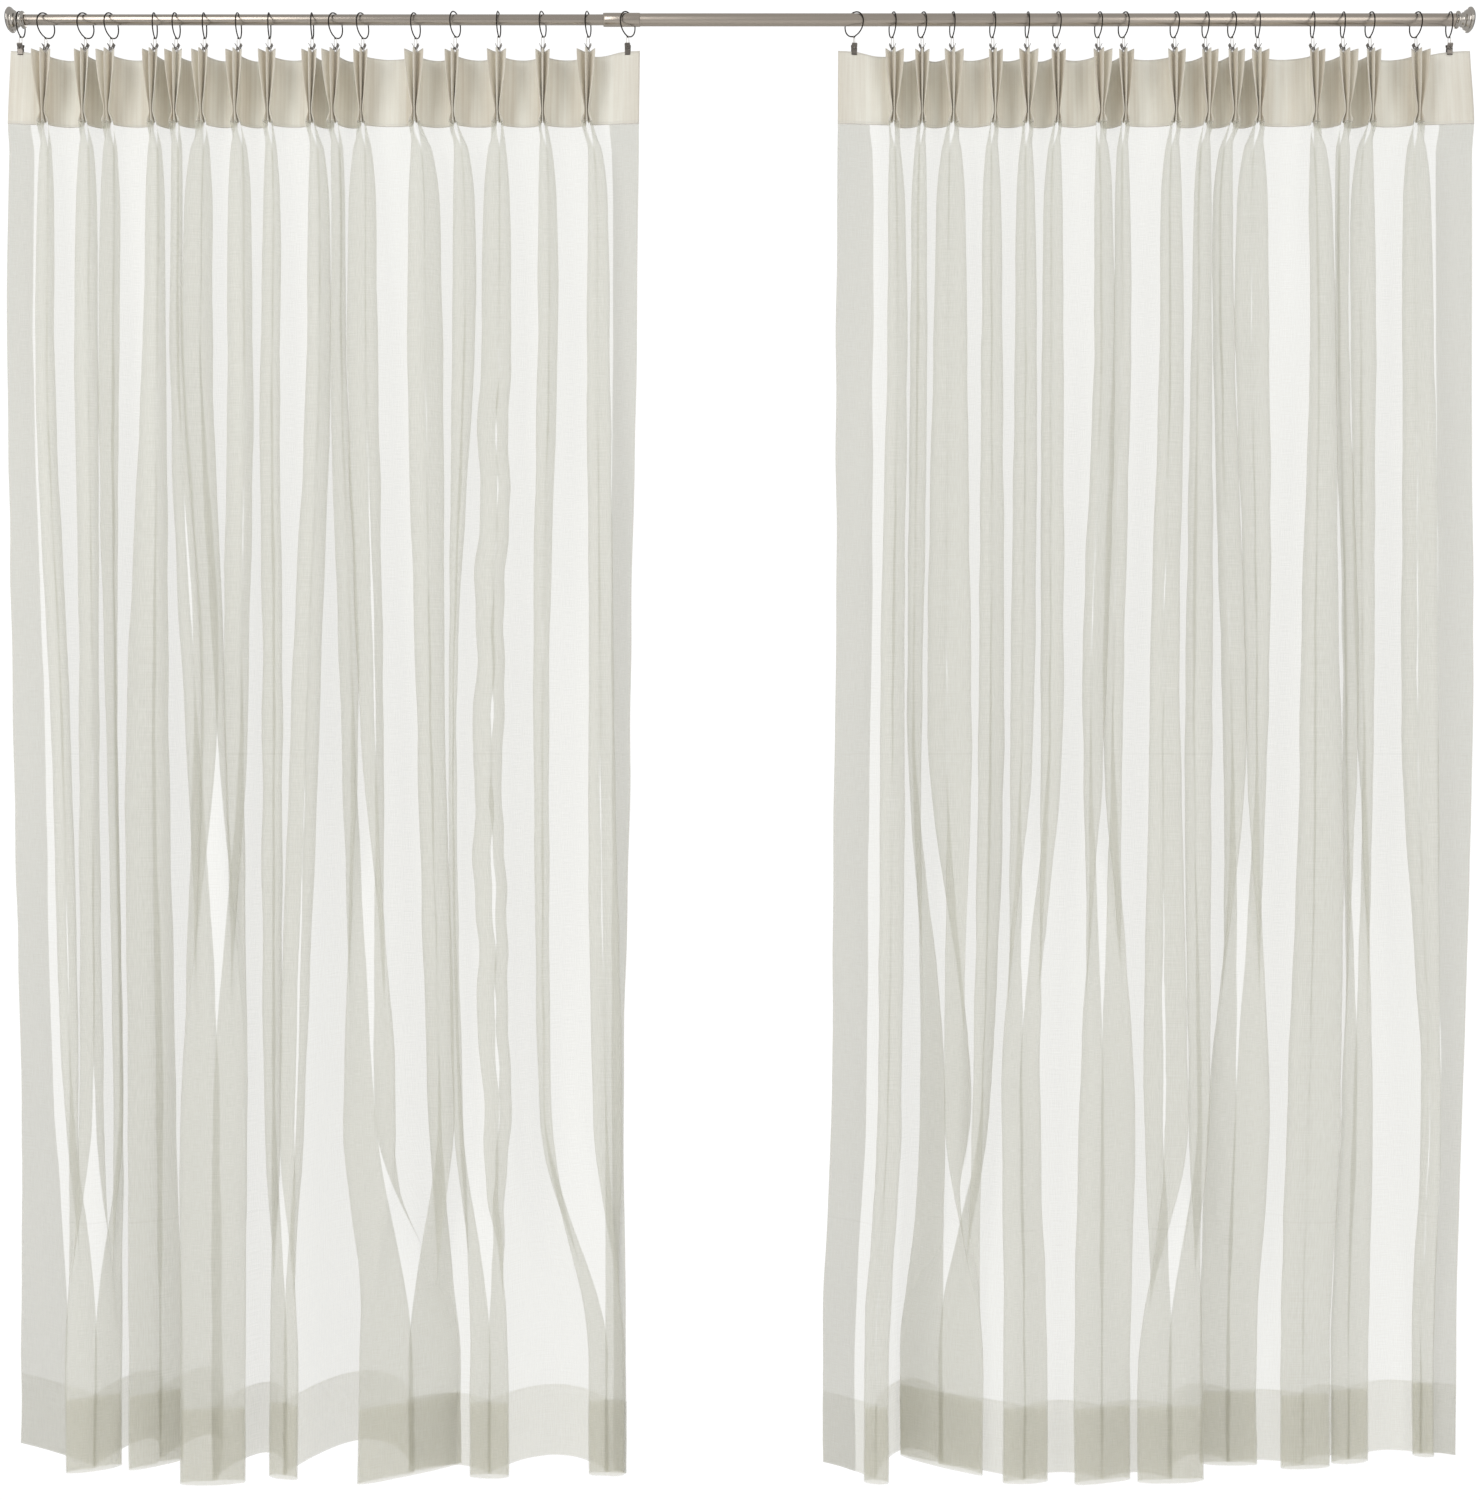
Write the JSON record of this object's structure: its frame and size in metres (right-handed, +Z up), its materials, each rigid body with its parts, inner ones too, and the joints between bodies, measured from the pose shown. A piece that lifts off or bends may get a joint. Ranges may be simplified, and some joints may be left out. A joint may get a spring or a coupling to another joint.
{
  "type": "window curtains on a rod",
  "caption": "Pair of sheer pinch-pleated curtains on clip rings, hung on a telescoping twist-lock tension rod with stepped, flared end flanges.",
  "frame": {"origin": "centre of the right end pad's outer face, where the rod presses on the wall", "axes": "+X along the rod into the right wall, +Z up, the room and the pleats are on the -Y side"},
  "size_m": [2.282, 0.1812, 2.2592],
  "materials": {
    "rod_nickel": "satin",
    "flange_nickel": "polished",
    "pad_rubber": "matte",
    "screw_steel": "satin",
    "plug_plastic": "matte",
    "ring_wire": "satin",
    "header_cloth": "matte",
    "sheer_cloth": "matte"
  },
  "bodies": {
    "outer_rod": {"outer_tube": "rod_nickel", "joint_collar": "rod_nickel", "right_flange": "flange_nickel", "right_pad": "pad_rubber", "right_screw": "screw_steel", "right_tube_plug": "plug_plastic"},
    "sliding_end": {"left_flange": "flange_nickel", "left_pad": "pad_rubber", "left_screw": "screw_steel"},
    "inner_rod": {"inner_tube": "rod_nickel", "left_tube_plug": "plug_plastic", "lock_plug": "plug_plastic"},
    "lock_cam": {"lock_cam": "plug_plastic"},
    "left_curtain": {"left_header_band": "header_cloth", "left_sheer_panel": "sheer_cloth", "left_clip_ring_01": "ring_wire"},
    "left_ring_18": {"left_clip_ring_18": "ring_wire"},
    "left_ring_17": {"left_clip_ring_17": "ring_wire"},
    "left_ring_16": {"left_clip_ring_16": "ring_wire"},
    "left_ring_15": {"left_clip_ring_15": "ring_wire"},
    "left_ring_14": {"left_clip_ring_14": "ring_wire"},
    "left_ring_13": {"left_clip_ring_13": "ring_wire"},
    "left_ring_12": {"left_clip_ring_12": "ring_wire"},
    "left_ring_11": {"left_clip_ring_11": "ring_wire"},
    "left_ring_10": {"left_clip_ring_10": "ring_wire"},
    "left_ring_09": {"left_clip_ring_09": "ring_wire"},
    "left_ring_08": {"left_clip_ring_08": "ring_wire"},
    "left_ring_07": {"left_clip_ring_07": "ring_wire"},
    "left_ring_06": {"left_clip_ring_06": "ring_wire"},
    "left_ring_05": {"left_clip_ring_05": "ring_wire"},
    "left_ring_04": {"left_clip_ring_04": "ring_wire"},
    "left_ring_03": {"left_clip_ring_03": "ring_wire"},
    "left_ring_02": {"left_clip_ring_02": "ring_wire"},
    "right_curtain": {"right_header_band": "header_cloth", "right_sheer_panel": "sheer_cloth", "right_clip_ring_01": "ring_wire"},
    "right_ring_18": {"right_clip_ring_18": "ring_wire"},
    "right_ring_17": {"right_clip_ring_17": "ring_wire"},
    "right_ring_16": {"right_clip_ring_16": "ring_wire"},
    "right_ring_15": {"right_clip_ring_15": "ring_wire"},
    "right_ring_14": {"right_clip_ring_14": "ring_wire"},
    "right_ring_13": {"right_clip_ring_13": "ring_wire"},
    "right_ring_12": {"right_clip_ring_12": "ring_wire"},
    "right_ring_11": {"right_clip_ring_11": "ring_wire"},
    "right_ring_10": {"right_clip_ring_10": "ring_wire"},
    "right_ring_09": {"right_clip_ring_09": "ring_wire"},
    "right_ring_08": {"right_clip_ring_08": "ring_wire"},
    "right_ring_07": {"right_clip_ring_07": "ring_wire"},
    "right_ring_06": {"right_clip_ring_06": "ring_wire"},
    "right_ring_05": {"right_clip_ring_05": "ring_wire"},
    "right_ring_04": {"right_clip_ring_04": "ring_wire"},
    "right_ring_03": {"right_clip_ring_03": "ring_wire"},
    "right_ring_02": {"right_clip_ring_02": "ring_wire"}
  },
  "joints": [
    {"name": "rod_extension", "type": "slide", "parent": "outer_rod", "child": "sliding_end", "axis": [-1, 0, 0], "range_m": [-0.24, 0.03]},
    {"name": "tube_twist", "type": "hinge", "parent": "sliding_end", "child": "inner_rod", "pos_m": [-2.256, 0, 0], "axis": [1, 0, 0], "range_deg": [0, 180]},
    {"name": "lock_cam_turn", "type": "hinge", "parent": "inner_rod", "child": "lock_cam", "pos_m": [-1.024, 0, 0.0005], "axis": [1, 0, 0], "range_deg": [-180, 0]},
    {"name": "left_curtain_swing", "type": "hinge", "parent": "sliding_end", "child": "left_curtain", "pos_m": [-2.26323, 0, 0], "axis": [1, 0, 0], "range_deg": [-15, 15]},
    {"name": "left_draw", "type": "slide", "parent": "left_curtain", "child": "left_ring_18", "axis": [-1, 0, 0], "range_m": [0, 0.6062]},
    {"name": "left_ring_17_slide", "type": "slide", "parent": "left_curtain", "child": "left_ring_17", "axis": [-1, 0, 0], "range_m": [0, 0.5668]},
    {"name": "left_ring_16_slide", "type": "slide", "parent": "left_curtain", "child": "left_ring_16", "axis": [-1, 0, 0], "range_m": [0, 0.5215]},
    {"name": "left_ring_15_slide", "type": "slide", "parent": "left_curtain", "child": "left_ring_15", "axis": [-1, 0, 0], "range_m": [0, 0.4775]},
    {"name": "left_ring_14_slide", "type": "slide", "parent": "left_curtain", "child": "left_ring_14", "axis": [-1, 0, 0], "range_m": [0, 0.4341]},
    {"name": "left_ring_13_slide", "type": "slide", "parent": "left_curtain", "child": "left_ring_13", "axis": [-1, 0, 0], "range_m": [0, 0.3945]},
    {"name": "left_ring_12_slide", "type": "slide", "parent": "left_curtain", "child": "left_ring_12", "axis": [-1, 0, 0], "range_m": [0, 0.3417]},
    {"name": "left_ring_11_slide", "type": "slide", "parent": "left_curtain", "child": "left_ring_11", "axis": [-1, 0, 0], "range_m": [0, 0.3146]},
    {"name": "left_ring_10_slide", "type": "slide", "parent": "left_curtain", "child": "left_ring_10", "axis": [-1, 0, 0], "range_m": [0, 0.2913]},
    {"name": "left_ring_09_slide", "type": "slide", "parent": "left_curtain", "child": "left_ring_09", "axis": [-1, 0, 0], "range_m": [0, 0.2486]},
    {"name": "left_ring_08_slide", "type": "slide", "parent": "left_curtain", "child": "left_ring_08", "axis": [-1, 0, 0], "range_m": [0, 0.2178]},
    {"name": "left_ring_07_slide", "type": "slide", "parent": "left_curtain", "child": "left_ring_07", "axis": [-1, 0, 0], "range_m": [0, 0.1838]},
    {"name": "left_ring_06_slide", "type": "slide", "parent": "left_curtain", "child": "left_ring_06", "axis": [-1, 0, 0], "range_m": [0, 0.1555]},
    {"name": "left_ring_05_slide", "type": "slide", "parent": "left_curtain", "child": "left_ring_05", "axis": [-1, 0, 0], "range_m": [0, 0.1341]},
    {"name": "left_ring_04_slide", "type": "slide", "parent": "left_curtain", "child": "left_ring_04", "axis": [-1, 0, 0], "range_m": [0, 0.0907]},
    {"name": "left_ring_03_slide", "type": "slide", "parent": "left_curtain", "child": "left_ring_03", "axis": [-1, 0, 0], "range_m": [0, 0.065]},
    {"name": "left_ring_02_slide", "type": "slide", "parent": "left_curtain", "child": "left_ring_02", "axis": [-1, 0, 0], "range_m": [0, 0.0253]},
    {"name": "right_curtain_swing", "type": "hinge", "parent": "outer_rod", "child": "right_curtain", "pos_m": [-0.0345, 0, 0], "axis": [1, 0, 0], "range_deg": [-15, 15]},
    {"name": "right_draw", "type": "slide", "parent": "right_curtain", "child": "right_ring_18", "axis": [1, 0, 0], "range_m": [0, 0.5942]},
    {"name": "right_ring_17_slide", "type": "slide", "parent": "right_curtain", "child": "right_ring_17", "axis": [1, 0, 0], "range_m": [0, 0.556]},
    {"name": "right_ring_16_slide", "type": "slide", "parent": "right_curtain", "child": "right_ring_16", "axis": [1, 0, 0], "range_m": [0, 0.5265]},
    {"name": "right_ring_15_slide", "type": "slide", "parent": "right_curtain", "child": "right_ring_15", "axis": [1, 0, 0], "range_m": [0, 0.4963]},
    {"name": "right_ring_14_slide", "type": "slide", "parent": "right_curtain", "child": "right_ring_14", "axis": [1, 0, 0], "range_m": [0, 0.4561]},
    {"name": "right_ring_13_slide", "type": "slide", "parent": "right_curtain", "child": "right_ring_13", "axis": [1, 0, 0], "range_m": [0, 0.4215]},
    {"name": "right_ring_12_slide", "type": "slide", "parent": "right_curtain", "child": "right_ring_12", "axis": [1, 0, 0], "range_m": [0, 0.3919]},
    {"name": "right_ring_11_slide", "type": "slide", "parent": "right_curtain", "child": "right_ring_11", "axis": [1, 0, 0], "range_m": [0, 0.3504]},
    {"name": "right_ring_10_slide", "type": "slide", "parent": "right_curtain", "child": "right_ring_10", "axis": [1, 0, 0], "range_m": [0, 0.3253]},
    {"name": "right_ring_09_slide", "type": "slide", "parent": "right_curtain", "child": "right_ring_09", "axis": [1, 0, 0], "range_m": [0, 0.2743]},
    {"name": "right_ring_08_slide", "type": "slide", "parent": "right_curtain", "child": "right_ring_08", "axis": [1, 0, 0], "range_m": [0, 0.2435]},
    {"name": "right_ring_07_slide", "type": "slide", "parent": "right_curtain", "child": "right_ring_07", "axis": [1, 0, 0], "range_m": [0, 0.2171]},
    {"name": "right_ring_06_slide", "type": "slide", "parent": "right_curtain", "child": "right_ring_06", "axis": [1, 0, 0], "range_m": [0, 0.1913]},
    {"name": "right_ring_05_slide", "type": "slide", "parent": "right_curtain", "child": "right_ring_05", "axis": [1, 0, 0], "range_m": [0, 0.1366]},
    {"name": "right_ring_04_slide", "type": "slide", "parent": "right_curtain", "child": "right_ring_04", "axis": [1, 0, 0], "range_m": [0, 0.1065]},
    {"name": "right_ring_03_slide", "type": "slide", "parent": "right_curtain", "child": "right_ring_03", "axis": [1, 0, 0], "range_m": [0, 0.0794]},
    {"name": "right_ring_02_slide", "type": "slide", "parent": "right_curtain", "child": "right_ring_02", "axis": [1, 0, 0], "range_m": [0, 0.0335]}
  ],
  "couplings": [
    {"joint": "lock_cam_turn", "follows": "tube_twist", "ratio": -1},
    {"joint": "left_ring_17_slide", "follows": "left_draw", "ratio": 0.93465},
    {"joint": "left_ring_16_slide", "follows": "left_draw", "ratio": 0.85996},
    {"joint": "left_ring_15_slide", "follows": "left_draw", "ratio": 0.78734},
    {"joint": "left_ring_14_slide", "follows": "left_draw", "ratio": 0.71576},
    {"joint": "left_ring_13_slide", "follows": "left_draw", "ratio": 0.65041},
    {"joint": "left_ring_12_slide", "follows": "left_draw", "ratio": 0.56327},
    {"joint": "left_ring_11_slide", "follows": "left_draw", "ratio": 0.51867},
    {"joint": "left_ring_10_slide", "follows": "left_draw", "ratio": 0.48028},
    {"joint": "left_ring_09_slide", "follows": "left_draw", "ratio": 0.40974},
    {"joint": "left_ring_08_slide", "follows": "left_draw", "ratio": 0.35891},
    {"joint": "left_ring_07_slide", "follows": "left_draw", "ratio": 0.30289},
    {"joint": "left_ring_06_slide", "follows": "left_draw", "ratio": 0.25621},
    {"joint": "left_ring_05_slide", "follows": "left_draw", "ratio": 0.22094},
    {"joint": "left_ring_04_slide", "follows": "left_draw", "ratio": 0.14936},
    {"joint": "left_ring_03_slide", "follows": "left_draw", "ratio": 0.10683},
    {"joint": "left_ring_02_slide", "follows": "left_draw", "ratio": 0.041479},
    {"joint": "right_ring_17_slide", "follows": "right_draw", "ratio": 0.93545},
    {"joint": "right_ring_16_slide", "follows": "right_draw", "ratio": 0.88571},
    {"joint": "right_ring_15_slide", "follows": "right_draw", "ratio": 0.83492},
    {"joint": "right_ring_14_slide", "follows": "right_draw", "ratio": 0.76719},
    {"joint": "right_ring_13_slide", "follows": "right_draw", "ratio": 0.70899},
    {"joint": "right_ring_12_slide", "follows": "right_draw", "ratio": 0.65925},
    {"joint": "right_ring_11_slide", "follows": "right_draw", "ratio": 0.58941},
    {"joint": "right_ring_10_slide", "follows": "right_draw", "ratio": 0.54708},
    {"joint": "right_ring_09_slide", "follows": "right_draw", "ratio": 0.46136},
    {"joint": "right_ring_08_slide", "follows": "right_draw", "ratio": 0.40951},
    {"joint": "right_ring_07_slide", "follows": "right_draw", "ratio": 0.36506},
    {"joint": "right_ring_06_slide", "follows": "right_draw", "ratio": 0.32167},
    {"joint": "right_ring_05_slide", "follows": "right_draw", "ratio": 0.22961},
    {"joint": "right_ring_04_slide", "follows": "right_draw", "ratio": 0.17881},
    {"joint": "right_ring_03_slide", "follows": "right_draw", "ratio": 0.13331},
    {"joint": "right_ring_02_slide", "follows": "right_draw", "ratio": 0.056059}
  ]
}
